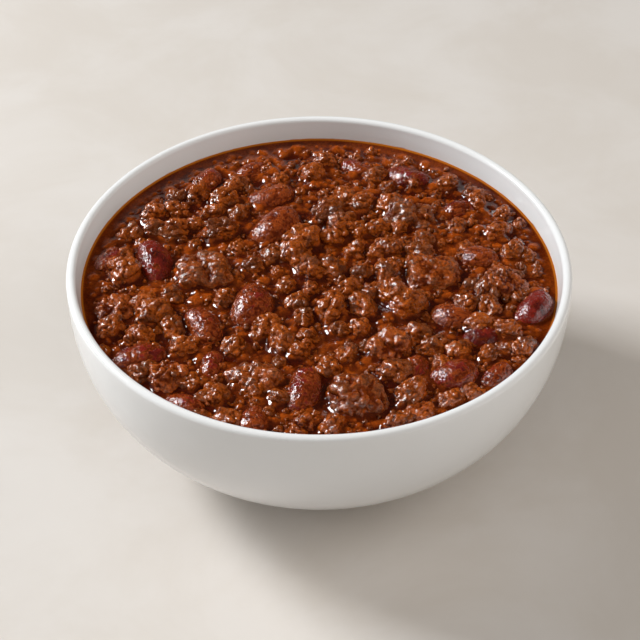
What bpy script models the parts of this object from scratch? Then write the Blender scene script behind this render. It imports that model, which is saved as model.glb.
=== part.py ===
"""A bowl of chili con carne: a turned white bowl, the chili that fills it up to its sauce level,
and each kidney bean and each beef chunk that lies in its surface as a solid of its own.

The origin is the middle of the foot's underside, +Z is up, and all sizes are in metres."""

import math

import bmesh
import bpy
import numpy as np
from mathutils import Euler, Matrix, Vector

MM = 0.001

# Bowl
RIM_RADIUS = 82.5 * MM
BOWL_HEIGHT = 70.0 * MM
LIP_THICKNESS = 3.2 * MM
WALL_THICKNESS = 4.5 * MM
WALL_FILLET = 5.0 * MM  # how fast the wall thickens below the lip
BELLY_FLOOR = 2.5 * MM  # height of the outer curve's flat bottom
BELLY_FLAT_RADIUS = 16.5 * MM
BELLY_DROP_POWER = 2.47  # high: the side stays steep for longer
BELLY_ROUND_POWER = 1.9
FOOT_RADIUS = 38.0 * MM
FOOT_WIDTH = 3.6 * MM
FOOT_BEVEL = 0.8 * MM
TURN_STEPS = 36
INNER_POINTS = 8
OUTER_POINTS = 12

# Chili
SAUCE_LEVEL = 61.5 * MM  # where the sauce meets the wall
DOME_RISE = 0.5 * MM
GAP = 0.3 * MM  # between neighbouring pieces
RELIEF_CELLS = 28
MOUND_COUNT = 60
MOUND_SEED = 11
MOUND_REACH = 70.0  # millimetres from the middle
CALM_REACH = 58.0  # past this, the sauce lies bare on the side that faces CALM_HEADING degrees
CALM_HEADING = 130.0

# Mince mounds that stand out from the rest: x, y, radius and rise in millimetres
LARGE_MOUNDS = (
    (-57, 32, 9, 2.2),
    (7, 38, 11, 3.2),
    (-8, 7, 10, 2.8),
    (12, 8, 10, 2.2),
    (26, -13, 9, 3.2),
    (8, -16, 9, 3.0),
    (-50, -21, 8, 2.2),
    (-31, 30, 8, 1.8),
    (-66, -1, 7, 2.0),
    (26, 18, 8, 2.4),
)

# Kidney beans: x, y, height of the centre, length, width, thickness in millimetres,
# then the long axis's heading, its rise and the roll about it in degrees
BEANS = (
    (-55, 9, 61, 18, 11, 9, 108, 14, 0),
    (-22, -14, 61, 17, 13, 11, 72, 14, 10),
    (-15, 27, 61, 20, 13, 12, 48, 6, -10),
    (-70, 10, 60, 13, 9, 8, 62, 6, 20),
    (-40, 54, 60, 13, 9, 8, 58, 10, 30),
    (-17, 45, 60, 16, 10, 9, 18, 6, 0),
    (-24, 61, 59, 13, 8, 8, 30, 4, 20),
    (-37, -24, 61, 17, 10, 9, 120, 8, 0),
    (31, 57, 60, 16, 9, 8, -28, 6, 10),
    (13, 63, 59, 13, 8, 8, -38, 6, 0),
    (48, 38, 60, 11, 8, 8, 24, 8, 10),
    (53, 12, 60, 14, 10, 9, -18, 10, 0),
    (69, -15, 61, 16, 10, 9, 52, 12, -20),
    (51, -28, 60, 12, 8, 8, 16, 8, 0),
    (43, -18, 60, 15, 10, 9, -20, 2, 0),
    (42, -46, 61, 15, 11, 9, 18, 4, 0),
    (55, -46, 60, 12, 8, 8, 42, 10, 20),
    (30, -43, 60, 12, 7, 7, 70, 14, 0),
    (-5, -53, 61, 17, 10, 9, 80, 10, 0),
    (-57, -37, 60, 18, 9, 9, 14, 2, 0),
    (-34, -41, 60, 11, 7, 8, 78, 10, 0),
    (-20, -66, 60, 12, 9, 8, 70, 8, 0),
    (-41, -59, 60, 13, 8, 8, -28, 4, 10),
)
BEAN_BEND = 0.12  # sideways bow of the long axis, as a share of the width
BEAN_BLUNTNESS = 0.08  # how much fuller the ends are than a ball's
BEAN_SEGMENTS = 8
BEAN_RINGS = 6

# Beef chunks: x, y, height of the centre, size along their own x, y and z in millimetres,
# then the turn about z and the lean about x and y in degrees
BEEF = (
    (-38, 3, 60.5, 17, 16, 14, 12, 6, -6),
    (31, 34, 60, 17, 13, 11, -14, 4, 6),
    (38, 3, 60, 18, 16, 12, 12, -4, 4),
    (61, -3, 60, 13, 12, 10, 24, 6, 6),
    (22, -33, 60, 14, 12, 12, 34, 8, -10),
    (12, -56, 60.5, 17, 15, 14, 10, -4, 4),
    (30, -62, 60, 10, 9, 8, 0, 6, 10),
    (-20, -47, 60, 17, 11, 10, -6, 8, 0),
    (-47, -47, 61, 13, 12, 9, 30, -6, 6),
    (-6, -68, 60, 9, 8, 8, 12, 0, 8),
    (-66, -15, 60, 13, 11, 9, 20, 4, 4),
)
BEEF_CUTS = 1
BEEF_BALL_RADIUS = 1.25  # the ball that its corners are pulled towards, against a box of 2
BEEF_ROUNDING = 0.42  # 0 keeps the box, 1 makes it a ball
BEEF_UNEVEN = 0.09  # how far a corner wanders, as a share of the chunk's size


def clear_scene():
    for thing in list(bpy.data.objects):
        bpy.data.objects.remove(thing, do_unlink=True)
    for group in list(bpy.data.collections):
        bpy.data.collections.remove(group)


def make_material(name, color, roughness, metallic=0.0):
    material = bpy.data.materials.new(name)
    material.use_nodes = True
    shader = material.node_tree.nodes["Principled BSDF"]
    shader.inputs["Base Color"].default_value = (*color, 1.0)
    shader.inputs["Roughness"].default_value = roughness
    shader.inputs["Metallic"].default_value = metallic
    return material


def make_object(name, mesh, collection, material=None):
    thing = bpy.data.objects.new(name, mesh)
    collection.objects.link(thing)
    if material is not None:
        mesh.materials.append(material)
    return thing


def shade_round(mesh, angle=40.0):
    mesh.shade_smooth()
    mesh.set_sharp_from_angle(angle=math.radians(angle))


def belly_radius(z):
    """The outer curve: flat underneath, then ever steeper up to the lip."""
    lip_middle = BOWL_HEIGHT - LIP_THICKNESS / 2
    drop = min(max((lip_middle - z) / (lip_middle - BELLY_FLOOR), 0.0), 1.0)
    share = (1.0 - drop**BELLY_DROP_POWER) ** (1.0 / BELLY_ROUND_POWER)
    return BELLY_FLAT_RADIUS + (RIM_RADIUS - BELLY_FLAT_RADIUS) * share


def belly_points(count):
    """(radius, height) down the outer curve from the lip's middle to its flat bottom, evenly spaced."""
    lip_middle = BOWL_HEIGHT - LIP_THICKNESS / 2
    turn = np.linspace(0.0, math.pi / 2, 400)
    heights = BELLY_FLOOR + (lip_middle - BELLY_FLOOR) * (1.0 - np.sin(turn))
    curve = np.array([(belly_radius(z), z) for z in heights])
    along = np.concatenate([[0.0], np.cumsum(np.linalg.norm(np.diff(curve, axis=0), axis=1))])
    even = np.linspace(0.0, along[-1], count)
    return np.stack([np.interp(even, along, curve[:, k]) for k in range(2)], axis=1)


def inner_points(count, gap=0.0):
    """The outer curve moved inwards by the wall's thickness, plus a gap, from the lip to the floor."""
    outer = belly_points(count)
    ahead = np.gradient(outer, axis=0)
    ahead /= np.linalg.norm(ahead, axis=1)[:, None]
    inwards = np.stack([ahead[:, 1], -ahead[:, 0]], axis=1)
    inwards[0] = (-1.0, 0.0)
    inwards[-1] = (0.0, 1.0)
    depth = BOWL_HEIGHT - LIP_THICKNESS / 2 - outer[:, 1]
    thickness = LIP_THICKNESS + (WALL_THICKNESS - LIP_THICKNESS) * (1.0 - np.exp(-depth / WALL_FILLET))
    return outer + inwards * (thickness + gap)[:, None]


def turned_object(name, profile, collection, material=None):
    """A Screw modifier turns a profile of (radius, height) that starts and ends on the axis."""
    mesh = bpy.data.meshes.new(name)
    points = [(radius, 0.0, height) for radius, height in profile]
    mesh.from_pydata(points, [(i, i + 1) for i in range(len(points) - 1)], [])
    thing = make_object(name, mesh, collection, material)
    screw = thing.modifiers.new("turn", "SCREW")
    screw.axis = "Z"
    screw.steps = TURN_STEPS
    screw.render_steps = TURN_STEPS
    screw.use_merge_vertices = True
    screw.merge_threshold = 0.00001
    screw.use_smooth_shade = True
    return thing


def lip_arc(steps=4):
    """The rounded lip, from the inner wall over the top to the outer wall."""
    radius = LIP_THICKNESS / 2
    middle = (RIM_RADIUS - radius, BOWL_HEIGHT - radius)
    angles = [math.pi * (1.0 - k / steps) for k in range(1, steps)]
    return [(middle[0] + radius * math.cos(a), middle[1] + radius * math.sin(a)) for a in angles]


def belly_height(radius):
    """The height at which the outer curve has this radius, found by halving."""
    low, high = BELLY_FLOOR, BOWL_HEIGHT - LIP_THICKNESS
    for _ in range(40):
        middle = (low + high) / 2
        low, high = (middle, high) if belly_radius(middle) < radius else (low, middle)
    return low


def foot_points():
    """From the belly down the foot ring's outer side, under it and up into the plain recess."""
    inner = FOOT_RADIUS - FOOT_WIDTH
    return [
        (FOOT_RADIUS + FOOT_BEVEL, belly_height(FOOT_RADIUS + FOOT_BEVEL)),
        (FOOT_RADIUS, belly_height(FOOT_RADIUS) - FOOT_BEVEL),
        (FOOT_RADIUS - FOOT_BEVEL / 2, FOOT_BEVEL),
        (FOOT_RADIUS - FOOT_BEVEL, 0.0),
        (inner + FOOT_BEVEL / 2, 0.0),
        (inner, FOOT_BEVEL),
        (inner - FOOT_BEVEL, BELLY_FLOOR),
        (0.0, BELLY_FLOOR),
    ]


def make_bowl(collection):
    glaze = make_material("bowl_glaze", (0.86, 0.85, 0.83), 0.14)
    inside = [tuple(point) for point in inner_points(INNER_POINTS)[::-1]]
    outside = [tuple(point) for point in belly_points(OUTER_POINTS) if point[0] > FOOT_RADIUS * 1.1]
    profile = [(0.0, inside[0][1])] + inside + lip_arc() + outside + foot_points()
    return turned_object("bowl", profile, collection, glaze)


def bowl_space(collection):
    """The inside of the bowl less the gap, open-topped past the sauce: what the chili may fill."""
    wall = [tuple(point) for point in inner_points(INNER_POINTS, GAP)]
    profile = [(0.0, BOWL_HEIGHT)] + [(wall[0][0], BOWL_HEIGHT)] + wall[1:] + [(0.0, wall[-1][1])]
    return turned_object("bowl_space", profile, collection)


def small_mounds():
    """Seeded mince mounds kept inside the wall, with a quieter band of sauce at the back left."""
    random = np.random.default_rng(MOUND_SEED)
    mounds = []
    while len(mounds) < MOUND_COUNT:
        reach = MOUND_REACH * math.sqrt(random.random())
        angle = random.uniform(0.0, 2.0 * math.pi)
        x, y = reach * math.cos(angle), reach * math.sin(angle)
        radius, rise = random.uniform(5.0, 7.5), random.uniform(0.8, 2.0)
        if reach > CALM_REACH and math.cos(angle - math.radians(CALM_HEADING)) > 0.5:
            continue
        mounds.append((x, y, radius, rise))
    return mounds


def relief_height(x, y, mounds):
    """Sauce level, a slight dome, and the highest of the rounded mounds, which fade out at the wall."""
    reach = np.hypot(x, y) / (RIM_RADIUS - WALL_THICKNESS)
    calm = np.clip((0.97 - reach) / 0.12, 0.0, 1.0)
    highest = np.zeros_like(x)
    for mx, my, radius, rise in mounds:
        away = np.hypot(x - mx * MM, y - my * MM) / (radius * MM)
        highest = np.maximum(highest, rise * MM * np.clip(1.0 - away**2, 0.0, 1.0))
    dome = DOME_RISE * (1.0 - np.minimum(reach, 1.0) ** 2)
    return SAUCE_LEVEL + dome + highest * calm


def make_chili(collection, guides, cutters):
    """A block whose top is the relief, cut to the inside of the bowl and round every sunk piece."""
    sauce = make_material("chili_sauce", (0.155, 0.024, 0.006), 0.28)
    bm = bmesh.new()
    bmesh.ops.create_grid(bm, x_segments=RELIEF_CELLS, y_segments=RELIEF_CELLS, size=RIM_RADIUS)
    top = list(bm.verts)
    spot = np.array([vert.co[:2] for vert in top])
    height = relief_height(spot[:, 0], spot[:, 1], LARGE_MOUNDS + tuple(small_mounds()))
    for vert, z in zip(top, height):
        vert.co.z = z
    below = bmesh.ops.extrude_face_region(bm, geom=list(bm.faces))["geom"]
    for vert in (item for item in below if isinstance(item, bmesh.types.BMVert)):
        vert.co.z = 0.0
    bmesh.ops.recalc_face_normals(bm, faces=bm.faces)
    mesh = bpy.data.meshes.new("chili")
    bm.to_mesh(mesh)
    bm.free()
    shade_round(mesh, 60.0)
    chili = make_object("chili", mesh, collection, sauce)

    keep = chili.modifiers.new("inside_the_bowl", "BOOLEAN")
    keep.operation = "INTERSECT"
    keep.solver = "EXACT"
    keep.object = bowl_space(guides)
    pits = chili.modifiers.new("pits", "BOOLEAN")
    pits.operation = "DIFFERENCE"
    pits.solver = "EXACT"
    pits.operand_type = "COLLECTION"
    pits.collection = cutters
    return chili


def bean_mesh(length, width, thickness, grow=0.0):
    """A ball drawn out along x with blunt ends, flattened, and bowed sideways into a kidney."""
    bm = bmesh.new()
    bmesh.ops.create_uvsphere(bm, u_segments=BEAN_SEGMENTS, v_segments=BEAN_RINGS, radius=1.0)
    bmesh.ops.rotate(bm, verts=bm.verts, matrix=Matrix.Rotation(math.pi / 2, 3, "Y"))
    for vert in bm.verts:
        along, across, up = vert.co
        fuller = max(1.0 - along**2, 0.001) ** -BEAN_BLUNTNESS
        bow = BEAN_BEND * width * (along**2 - 0.35)
        vert.co = (along * length / 2, across * fuller * width / 2 + bow, up * fuller * thickness / 2)
    return finish_piece(bm, "bean", grow)


def beef_mesh(size, index, grow=0.0):
    """A box with its faces cut in four, pulled towards a ball, with wandering corners."""
    random = np.random.default_rng(100 + index)
    bm = bmesh.new()
    bmesh.ops.create_cube(bm, size=2.0)
    bmesh.ops.subdivide_edges(bm, edges=list(bm.edges), cuts=BEEF_CUTS, use_grid_fill=True)
    for vert in bm.verts:
        ball = vert.co.normalized() * BEEF_BALL_RADIUS
        vert.co = vert.co.lerp(ball, BEEF_ROUNDING)
        vert.co += Vector(random.uniform(-2.0, 2.0, 3)) * BEEF_UNEVEN
        vert.co = Vector(side * part / 2 for side, part in zip(size, vert.co))
    return finish_piece(bm, "beef", grow)


def finish_piece(bm, name, grow):
    """Triangles, smooth shading and, for a cutter, every point moved out along its normal."""
    bmesh.ops.triangulate(bm, faces=bm.faces)
    bm.normal_update()
    moved = [(vert, vert.co + vert.normal * grow) for vert in bm.verts]
    for vert, place in moved:
        vert.co = place
    mesh = bpy.data.meshes.new(name)
    bm.to_mesh(mesh)
    bm.free()
    shade_round(mesh, 60.0)
    return mesh


def place(thing, spot, turn):
    thing.location = Vector(spot) * MM
    thing.rotation_euler = turn


def mark_as_cutter(thing):
    thing.hide_render = True
    thing.display_type = "WIRE"


def make_sunk_pieces(name, rows, build, turn_of, material, parts, cutters):
    """Each row's solid, and a slightly grown copy of it that cuts its pit in the chili."""
    for index, row in enumerate(rows, start=1):
        size = tuple(value * MM for value in row[3:6])
        label = f"{name}_{index:02d}"
        piece = make_object(label, build(size, index, 0.0), parts, material)
        cutter = make_object(f"{label}_pit", build(size, index, GAP * 1.15), cutters)
        place(piece, row[:3], turn_of(row))
        place(cutter, row[:3], turn_of(row))
        mark_as_cutter(cutter)


def bean_turn(row):
    heading, rise, roll = (math.radians(value) for value in row[6:9])
    return Euler((roll, -rise, heading), "XYZ")


def beef_turn(row):
    about_z, about_x, about_y = (math.radians(value) for value in row[6:9])
    return Euler((about_x, about_y, about_z), "XYZ")


def build_part():
    clear_scene()
    scene = bpy.context.scene
    parts = bpy.data.collections.new("chili_con_carne")
    guides = bpy.data.collections.new("bowl_space")
    cutters = bpy.data.collections.new("cutters")
    for group in (parts, guides, cutters):
        scene.collection.children.link(group)

    make_bowl(parts)
    bean_red = make_material("bean_skin", (0.12, 0.012, 0.010), 0.25)
    beef_brown = make_material("beef", (0.17, 0.055, 0.022), 0.45)

    def build_bean(size, index, grow):
        return bean_mesh(*size, grow)

    make_sunk_pieces("bean", BEANS, build_bean, bean_turn, bean_red, parts, cutters)
    make_sunk_pieces("beef", BEEF, beef_mesh, beef_turn, beef_brown, parts, cutters)
    make_chili(parts, guides, cutters)
    for guide in guides.objects:
        mark_as_cutter(guide)


build_part()
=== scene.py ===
import itertools
import math

import bpy
import numpy as np
from mathutils import Euler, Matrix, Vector


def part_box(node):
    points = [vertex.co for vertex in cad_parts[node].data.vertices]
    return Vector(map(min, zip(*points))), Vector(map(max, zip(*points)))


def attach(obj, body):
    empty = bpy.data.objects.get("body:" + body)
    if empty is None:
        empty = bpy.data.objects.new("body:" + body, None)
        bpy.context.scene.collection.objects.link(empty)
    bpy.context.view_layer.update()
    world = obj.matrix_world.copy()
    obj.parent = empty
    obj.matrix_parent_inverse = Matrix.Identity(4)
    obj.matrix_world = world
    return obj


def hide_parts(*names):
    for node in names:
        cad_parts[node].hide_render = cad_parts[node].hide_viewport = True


# A bowl of chili con carne: its looks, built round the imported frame. Lengths are in metres.
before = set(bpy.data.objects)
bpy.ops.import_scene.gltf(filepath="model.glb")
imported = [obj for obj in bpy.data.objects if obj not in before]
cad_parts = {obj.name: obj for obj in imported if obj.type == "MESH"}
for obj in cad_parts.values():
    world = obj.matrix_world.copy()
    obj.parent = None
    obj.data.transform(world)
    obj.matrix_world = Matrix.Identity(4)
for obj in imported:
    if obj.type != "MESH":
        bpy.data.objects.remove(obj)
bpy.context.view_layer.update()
mm = 0.001
beanNodes = sorted(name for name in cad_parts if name.startswith("bean"))
beefNodes = sorted(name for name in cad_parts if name.startswith("beef"))
print("frame loaded:", len(beanNodes), "beans,", len(beefNodes), "chunks of beef")


# Numbers that vary smoothly

def latticeNoise(points, cell, seed):
    # random values from -1 to 1 on a cubic lattice, blended between the eight corners round each point by
    # the eased distance t t (3 - 2 t)
    table = np.random.default_rng(seed).uniform(-1.0, 1.0, (32, 32, 32))
    spot = np.asarray(points) / cell
    low = np.floor(spot).astype(int)
    ease = spot - low
    ease = ease * ease * (3.0 - 2.0 * ease)
    total = np.zeros(spot.shape[:-1])
    for corner in itertools.product((0, 1), repeat=3):
        weight = np.prod(np.where(corner, ease, 1.0 - ease), axis=-1)
        x, y, z = np.moveaxis((low + corner) % 32, -1, 0)
        total += weight * table[x, y, z]
    return total


def layeredNoise(points, cell, seed, layers=3):
    # each layer is half as wide and half as strong as the one before
    return sum(latticeNoise(points, cell / 2**k, seed + k) * 0.5**k for k in range(layers))


def smoothMax(first, second, blend):
    # the higher of two surfaces, with the crease between them filled: second + (first - second) r +
    # blend r (1 - r), where r runs from 0 to 1 as first passes second
    rise = np.clip(0.5 + 0.5 * (first - second) / blend, 0.0, 1.0)
    return second * (1.0 - rise) + first * rise + blend * rise * (1.0 - rise)


def blur(field, sigma, step):
    # a Gaussian blur along both axes, by whole-array shifts
    reach = max(1, int(round(2.5 * sigma / step)))
    taps = np.exp(-0.5 * (np.arange(-reach, reach + 1) * step / sigma) ** 2)
    taps /= taps.sum()
    for axis in (0, 1):
        padded = np.pad(field, [(reach, reach) if a == axis else (0, 0) for a in (0, 1)], mode="edge")
        length = field.shape[axis]
        field = sum(t * np.take(padded, range(k, k + length), axis=axis) for k, t in enumerate(taps))
    return field


# Meshes from whole arrays

def makeMesh(name, points, quads, triangles, values=None):
    # points, then faces as rows of corner numbers, and named values at the points
    mesh = bpy.data.meshes.new(name)
    mesh.vertices.add(len(points))
    mesh.vertices.foreach_set("co", np.asarray(points, np.float32).ravel())
    corners = np.concatenate([quads.ravel(), triangles.ravel()]).astype(np.int32)
    starts = np.concatenate([np.arange(len(quads)) * 4, len(quads) * 4 + np.arange(len(triangles)) * 3])
    mesh.loops.add(len(corners))
    mesh.loops.foreach_set("vertex_index", corners)
    mesh.polygons.add(len(starts))
    mesh.polygons.foreach_set("loop_start", starts.astype(np.int32))
    mesh.update(calc_edges=True)
    mesh.shade_smooth()
    for key, value in (values or {}).items():
        attribute = mesh.attributes.new(key, "FLOAT", "POINT")
        attribute.data.foreach_set("value", np.asarray(value, np.float32).ravel())
    piece = bpy.data.objects.new(name, mesh)
    bpy.context.scene.collection.objects.link(piece)
    return piece


def closedSurfaces(name, rings, poles, values=None):
    # rings is (count, rows, around, 3), from the first pole to the last; poles is (count, 2, 3). Each row is
    # joined to the next by quads, anticlockwise seen from outside, and the end rows to their poles by
    # triangles.
    count, rows, around = rings.shape[:3]
    row, col = np.meshgrid(np.arange(rows - 1), np.arange(around), indexing="ij")
    after = (col + 1) % around
    quads = np.stack([row * around + col, (row + 1) * around + col, (row + 1) * around + after,
                      row * around + after], axis=-1).reshape(-1, 4)
    col = np.arange(around)
    after = (col + 1) % around
    top = np.full(around, rows * around)
    last = (rows - 1) * around
    triangles = np.concatenate([np.stack([top, col, after], axis=-1),
                                np.stack([top + 1, last + after, last + col], axis=-1)])
    perPiece = rows * around + 2
    shift = np.arange(count)[:, None, None] * perPiece
    points = np.concatenate([rings.reshape(count, -1, 3), poles], axis=1).reshape(-1, 3)
    quads, triangles = (quads + shift).reshape(-1, 4), (triangles + shift).reshape(-1, 3)
    return makeMesh(name, points, quads, triangles, values)


def ballDirections(rows, around):
    # unit directions on rows of latitude round z, without the poles: (sin a cos b, sin a sin b, cos a)
    tilt = np.pi * (np.arange(rows) + 1) / (rows + 1)
    turn = 2.0 * np.pi * np.arange(around) / around
    tilt, turn = np.meshgrid(tilt, turn, indexing="ij")
    return np.stack([np.sin(tilt) * np.cos(turn), np.sin(tilt) * np.sin(turn), np.cos(tilt)], axis=-1)


def spiralDirections(count):
    # evenly spread directions, wound from pole to pole by the golden angle
    k = np.arange(count) + 0.5
    height, turn = 1.0 - 2.0 * k / count, k * math.pi * (3.0 - math.sqrt(5.0))
    flat = np.sqrt(1.0 - height**2)
    return np.stack([flat * np.cos(turn), flat * np.sin(turn), height], axis=-1)


def noduleLift(directions, count, nodules, wide, random):
    # the soft sum of round caps spread over a ball, for each of a number of pieces: a cap of half-angle w is
    # w sqrt(1 - t t / w w) high at angle t from its middle
    aim = spiralDirections(nodules)[None] + random.normal(0.0, 0.13, (count, nodules, 3))
    aim /= np.linalg.norm(aim, axis=-1, keepdims=True)
    width = random.uniform(*wide, (count, 1, nodules))
    angle = np.arccos(np.clip(np.einsum("pk,cnk->cpn", directions, aim), -1.0, 1.0))
    caps = width * np.sqrt(np.clip(1.0 - (angle / width) ** 2, 0.0, 1.0))
    lift = np.log1p((np.exp(24.0 * caps) - 1.0).sum(-1)) / 24.0
    # the second value is high in the creases between the caps; the materials darken those creases with it,
    # as painted shade
    return lift, np.clip(1.15 - lift / (0.75 * width.mean(-1)), 0.0, 1.0)


def meshPoints(mesh):
    # a mesh's corner points as (count, 3)
    points = np.empty(len(mesh.vertices) * 3, np.float32)
    mesh.vertices.foreach_get("co", points)
    return points.reshape(-1, 3)


def nodePoints(name):
    return meshPoints(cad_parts[name].data).astype(float)


def nodeTriangles(name):
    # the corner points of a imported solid's triangles, as (count, 3, 3)
    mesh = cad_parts[name].data
    mesh.calc_loop_triangles()
    index = np.empty(len(mesh.loop_triangles) * 3, np.int32)
    mesh.loop_triangles.foreach_get("vertices", index)
    return nodePoints(name)[index.reshape(-1, 3)]


def finishPiece(piece, material, slot, *nodes):
    # every piece rides on the one body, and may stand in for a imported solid
    piece.data.materials.append(material)
    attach(piece, "root")
    if nodes:
        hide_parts(*nodes)
    return piece


# Shader nodes

def setInputs(tree, node, **inputs):
    # sockets are set by name or number, with a value or with a link from another node's output
    for key, value in inputs.items():
        numbered = key[0] == "i" and key[1:].isdigit()
        socket = node.inputs[int(key[1:]) if numbered else key.replace("_", " ")]
        if isinstance(value, bpy.types.NodeSocket):
            tree.links.new(value, socket)
        else:
            socket.default_value = value
    return node


def noiseTexture(tree, vector, scale, detail=3.0, roughness=0.5, distortion=0.0):
    node = tree.nodes.new("ShaderNodeTexNoise")
    setInputs(tree, node, Vector=vector, Scale=scale, Detail=detail, Roughness=roughness,
              Distortion=distortion)
    return node.outputs["Fac"]


def mapped(tree, value, low, high, toLow=0.0, toHigh=1.0):
    # an eased step from toLow to toHigh while the value goes from low to high
    node = tree.nodes.new("ShaderNodeMapRange")
    node.interpolation_type = "SMOOTHSTEP"
    setInputs(tree, node, Value=value, From_Min=low, From_Max=high, To_Min=toLow, To_Max=toHigh)
    return node.outputs["Result"]


def mathNode(tree, operation, first, second=0.0, clamp=False):
    node = tree.nodes.new("ShaderNodeMath")
    node.operation = operation
    node.use_clamp = clamp
    setInputs(tree, node, i0=first, i1=second)
    return node.outputs[0]


def mixColor(tree, factor, first, second, blend="MIX"):
    node = tree.nodes.new("ShaderNodeMix")
    node.data_type = "RGBA"
    node.blend_type = blend
    setInputs(tree, node, i0=factor, i6=first, i7=second)
    return node.outputs[2]


def startGroup(name, inputs, outputs):
    # a shader node group with named inputs and outputs
    tree = bpy.data.node_groups.new(name, "ShaderNodeTree")
    for label, kind, value in inputs:
        socket = tree.interface.new_socket(name=label, in_out="INPUT", socket_type=kind)
        socket.default_value = value
    for label, kind in outputs:
        tree.interface.new_socket(name=label, in_out="OUTPUT", socket_type=kind)
    return tree, tree.nodes.new("NodeGroupInput").outputs, tree.nodes.new("NodeGroupOutput")


def buildSauceFilm():
    # sauce lying over whatever is under it: dark in the hollows and thin and orange where it runs off the
    # rises, partly from how thick it lies and partly as painted shade in the hollows
    tree, given, result = startGroup(
        "sauce film",
        [("Under", "NodeSocketColor", (0.2, 0.07, 0.03, 1)), ("Coverage", "NodeSocketFloat", 0.5),
         ("Hollow", "NodeSocketFloat", 0.5), ("Patch Scale", "NodeSocketFloat", 260.0),
         ("Thin", "NodeSocketColor", (0.36, 0.075, 0.012, 1)),
         ("Thick", "NodeSocketColor", (0.10, 0.012, 0.004, 1)),
         ("Dry Roughness", "NodeSocketFloat", 0.5), ("Wet Roughness", "NodeSocketFloat", 0.2)],
        [("Color", "NodeSocketColor"), ("Roughness", "NodeSocketFloat"), ("Height", "NodeSocketFloat")])
    place = tree.nodes.new("ShaderNodeTexCoord").outputs["Object"]
    patches = noiseTexture(tree, place, given["Patch Scale"], 4.0, 0.6, 0.4)
    lifted = mathNode(tree, "ADD", patches, mathNode(tree, "MULTIPLY", given["Hollow"], 0.35))
    edge = mathNode(tree, "SUBTRACT", 1.05, given["Coverage"])
    cover = mapped(tree, mathNode(tree, "SUBTRACT", lifted, edge), -0.08, 0.12)
    drift = noiseTexture(tree, place, 90.0, 3.0)
    # the hollows are darkened here: partly thicker sauce, partly painted shade
    sunken = mapped(tree, given["Hollow"], 0.12, 0.85)
    depth = mathNode(tree, "ADD", mathNode(tree, "MULTIPLY", sunken, 0.9),
                     mathNode(tree, "MULTIPLY", mathNode(tree, "SUBTRACT", drift, 0.45), 0.8), clamp=True)
    film = mixColor(tree, depth, given["Thin"], given["Thick"])
    grains = noiseTexture(tree, place, 1500.0, 3.0, 0.6)
    speck = mapped(tree, grains, 0.35, 0.75, 0.72, 1.3)
    color = mixColor(tree, 1.0, mixColor(tree, cover, given["Under"], film), speck, "MULTIPLY")
    wetter = mathNode(tree, "SUBTRACT", given["Wet Roughness"], given["Dry Roughness"])
    rough = mathNode(tree, "ADD", mathNode(tree, "MULTIPLY", cover, wetter), given["Dry Roughness"])
    height = mathNode(tree, "ADD", mathNode(tree, "MULTIPLY", grains, 0.6),
                      mathNode(tree, "MULTIPLY", patches, 0.4))
    setInputs(tree, result, Color=color, Roughness=rough, Height=height)
    return tree


def buildGrains():
    # round grains crowded together: high in the middle of each and low in the creases between them
    tree, given, result = startGroup(
        "crowded grains", [("Size Scale", "NodeSocketFloat", 800.0), ("Waver", "NodeSocketFloat", 0.0006)],
        [("Height", "NodeSocketFloat"), ("Crease", "NodeSocketFloat")])
    place = tree.nodes.new("ShaderNodeTexCoord").outputs["Object"]
    drift = tree.nodes.new("ShaderNodeTexNoise")
    setInputs(tree, drift, Vector=place, Scale=700.0, Detail=2.0)
    push = tree.nodes.new("ShaderNodeVectorMath")
    push.operation = "MULTIPLY_ADD"
    setInputs(tree, push, i0=drift.outputs["Color"], i1=given["Waver"], i2=place)
    cells = tree.nodes.new("ShaderNodeTexVoronoi")
    cells.feature = "SMOOTH_F1"
    setInputs(tree, cells, Vector=push.outputs[0], Scale=given["Size Scale"], Smoothness=0.35,
              Randomness=0.9)
    coarse = noiseTexture(tree, place, 380.0, 2.0)
    height = mathNode(tree, "SUBTRACT", coarse, cells.outputs["Distance"])
    # Crease is high between the grains; where it is used it darkens them, as painted shade
    setInputs(tree, result, Height=height, Crease=mapped(tree, cells.outputs["Distance"], 0.25, 0.75))
    return tree


def principled(name, **constants):
    # a material whose constant numbers stand on the shader's own sockets
    material = bpy.data.materials.new(name)
    material.use_nodes = True
    tree = material.node_tree
    shader = tree.nodes["Principled BSDF"]
    for key, value in constants.items():
        shader.inputs[key.replace("_", " ")].default_value = value
    return material, tree, shader


def wetFood(name, coatBend, coatRoughness, scattered, reach):
    # food whose gloss is all in a wet coat, over flesh that lets a little light through
    material, tree, shader = principled(
        name, Specular_IOR_Level=0.05, Coat_IOR=coatBend, Coat_Roughness=coatRoughness,
        Subsurface_Weight=scattered, Subsurface_Radius=reach, Subsurface_Scale=0.001)
    return material, tree, shader, tree.nodes.new("ShaderNodeTexCoord").outputs["Object"]


def useGroup(tree, group, **inputs):
    node = tree.nodes.new("ShaderNodeGroup")
    node.node_tree = group
    return setInputs(tree, node, **inputs).outputs


def bumpNode(tree, height, distance, strength=1.0):
    # a height from 0 to 1, raised by a distance in metres
    node = tree.nodes.new("ShaderNodeBump")
    return setInputs(tree, node, Height=height, Distance=distance, Strength=strength).outputs["Normal"]


def attributeValue(tree, name):
    node = tree.nodes.new("ShaderNodeAttribute")
    node.attribute_name = name
    return node.outputs["Fac"]


sauceFilm = buildSauceFilm()
crowdedGrains = buildGrains()


# The bowl

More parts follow.
